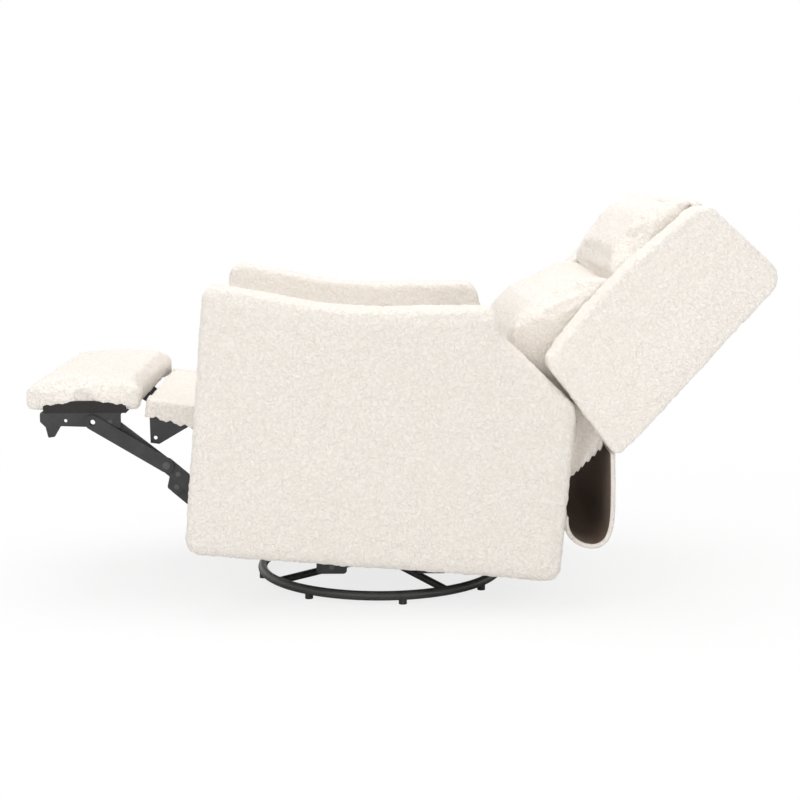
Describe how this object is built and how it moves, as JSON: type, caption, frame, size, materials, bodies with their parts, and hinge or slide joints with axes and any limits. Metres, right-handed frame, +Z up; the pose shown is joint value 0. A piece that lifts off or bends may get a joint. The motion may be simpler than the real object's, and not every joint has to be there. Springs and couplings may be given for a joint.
{
  "type": "swivel glider recliner",
  "caption": "Upholstered recliner on a turning floor ring, with gliding links, a reclining back and a fold-out footrest.",
  "frame": {"origin": "on the floor under the middle of the chair's outline", "axes": "+X towards the back of the chair, +Y towards the sitter's right, +Z up"},
  "size_m": [1.5065, 0.76, 0.8336],
  "materials": {
    "ring_paint": "satin",
    "mechanism_paint": "satin",
    "foot_plastic": "matte",
    "bright_steel": "satin",
    "cage_plastic": "matte",
    "timber": "matte",
    "seat_foam": "matte",
    "ivory_pile": "matte",
    "skirt_cloth": "matte"
  },
  "bodies": {
    "base": {"floor_ring": "ring_paint", "ring_feet": "foot_plastic", "ring_spokes": "ring_paint", "ring_hub": "ring_paint", "swivel_spindle": "bright_steel", "lower_bearing_race": "bright_steel", "bearing_balls": "bright_steel", "bearing_cage": "cage_plastic", "spindle_nut": "bright_steel"},
    "swivel": {"upper_bearing_race": "bright_steel", "swivel_plate": "mechanism_paint", "stand_crossbars": "mechanism_paint", "stand_sides": "mechanism_paint", "stand_pins": "bright_steel"},
    "front_glide": {"front_glide_links": "mechanism_paint"},
    "rear_glide": {"rear_glide_links": "mechanism_paint"},
    "carriage": {"carriage_sides": "mechanism_paint", "carriage_tubes": "mechanism_paint", "carriage_pins": "bright_steel", "tilt_stops": "mechanism_paint"},
    "seat_body": {"tilt_brackets": "mechanism_paint", "tilt_pins": "bright_steel", "arm_left": "ivory_pile", "arm_right": "ivory_pile", "arm_boards": "timber", "seat_end_rails": "timber", "seat_side_rails": "timber", "seat_cross_rails": "timber", "seat_springs": "bright_steel", "seat_pad": "seat_foam", "seat_cushion": "ivory_pile", "rear_panel": "timber", "mechanism_plates": "mechanism_paint", "mechanism_tubes": "mechanism_paint", "mechanism_pins": "bright_steel", "recline_pins": "bright_steel", "flap_hinge": "mechanism_paint", "rear_skirt": "skirt_cloth"},
    "back": {"back_brackets": "mechanism_paint", "back_posts": "timber", "back_rails": "timber", "back_springs": "bright_steel", "back_wing_left": "ivory_pile", "back_wing_right": "ivory_pile", "back_shell": "ivory_pile", "lumbar_cushion": "ivory_pile", "head_pillow": "ivory_pile"},
    "main_links": {"footrest_main_links": "mechanism_paint", "knee_pins": "bright_steel"},
    "guide_links": {"footrest_guide_links": "mechanism_paint"},
    "lift_links": {"footrest_lift_links": "mechanism_paint", "guide_end_pins": "bright_steel"},
    "control_links": {"footrest_control_links": "mechanism_paint"},
    "footrest": {"footrest_brackets": "mechanism_paint", "footrest_board": "timber", "footrest_pins": "bright_steel", "footrest_pad": "ivory_pile"},
    "flap": {"flap_pad": "ivory_pile", "flap_brackets": "mechanism_paint"}
  },
  "joints": [
    {"name": "swivel_turn", "type": "hinge", "parent": "base", "child": "swivel", "pos_m": [-0.024, 0, 0.05], "axis": [0, 0, 1], "continuous": true},
    {"name": "glide", "type": "hinge", "parent": "swivel", "child": "front_glide", "pos_m": [-0.129, 0, 0.215], "axis": [0, 1, 0], "range_deg": [-18, 18]},
    {"name": "carriage_level", "type": "hinge", "parent": "front_glide", "child": "carriage", "pos_m": [-0.129, 0, 0.07], "axis": [0, 1, 0], "range_deg": [-18, 18]},
    {"name": "rear_glide_swing", "type": "hinge", "parent": "swivel", "child": "rear_glide", "pos_m": [0.081, 0, 0.215], "axis": [0, 1, 0], "range_deg": [-18, 18]},
    {"name": "body_tilt", "type": "hinge", "parent": "carriage", "child": "seat_body", "pos_m": [-0.24905, 0, 0.25417], "axis": [0, 1, 0], "range_deg": [-4.7, 0]},
    {"name": "recline", "type": "hinge", "parent": "seat_body", "child": "back", "pos_m": [0.14485, 0, 0.34741], "axis": [0, 1, 0], "range_deg": [-20, 0], "deforming": ["rear_skirt"]},
    {"name": "footrest_swing", "type": "hinge", "parent": "seat_body", "child": "main_links", "pos_m": [-0.31893, 0, 0.17258], "axis": [0, 1, 0], "range_deg": [0, 106]},
    {"name": "guide_swing", "type": "hinge", "parent": "seat_body", "child": "guide_links", "pos_m": [-0.3232, 0, 0.14484], "axis": [0, 1, 0], "range_deg": [0, 106]},
    {"name": "lift_fold", "type": "hinge", "parent": "main_links", "child": "lift_links", "pos_m": [-0.4418, 0, 0.27816], "axis": [0, 1, 0], "range_deg": [-106, 0]},
    {"name": "control_fold", "type": "hinge", "parent": "main_links", "child": "control_links", "pos_m": [-0.46455, 0, 0.29771], "axis": [0, 1, 0], "range_deg": [-117.8, 0]},
    {"name": "footrest_tilt", "type": "hinge", "parent": "lift_links", "child": "footrest", "pos_m": [-0.57799, 0, 0.38701], "axis": [0, 1, 0], "range_deg": [-85.43, 0]},
    {"name": "flap_fold", "type": "hinge", "parent": "seat_body", "child": "flap", "pos_m": [-0.31763, 0, 0.39722], "axis": [0, 1, 0], "range_deg": [-93.43, 0]}
  ],
  "couplings": [
    {"joint": "carriage_level", "follows": "glide", "ratio": -1},
    {"joint": "rear_glide_swing", "follows": "glide", "ratio": 1},
    {"joint": "body_tilt", "follows": "recline", "ratio": 0.2335},
    {"joint": "guide_swing", "follows": "footrest_swing", "ratio": 1},
    {"joint": "lift_fold", "follows": "footrest_swing", "ratio": -1},
    {"joint": "control_fold", "follows": "footrest_swing", "ratio": -1.1104},
    {"joint": "footrest_tilt", "follows": "footrest_swing", "ratio": -0.805},
    {"joint": "flap_fold", "follows": "footrest_swing", "ratio": -0.88047}
  ]
}
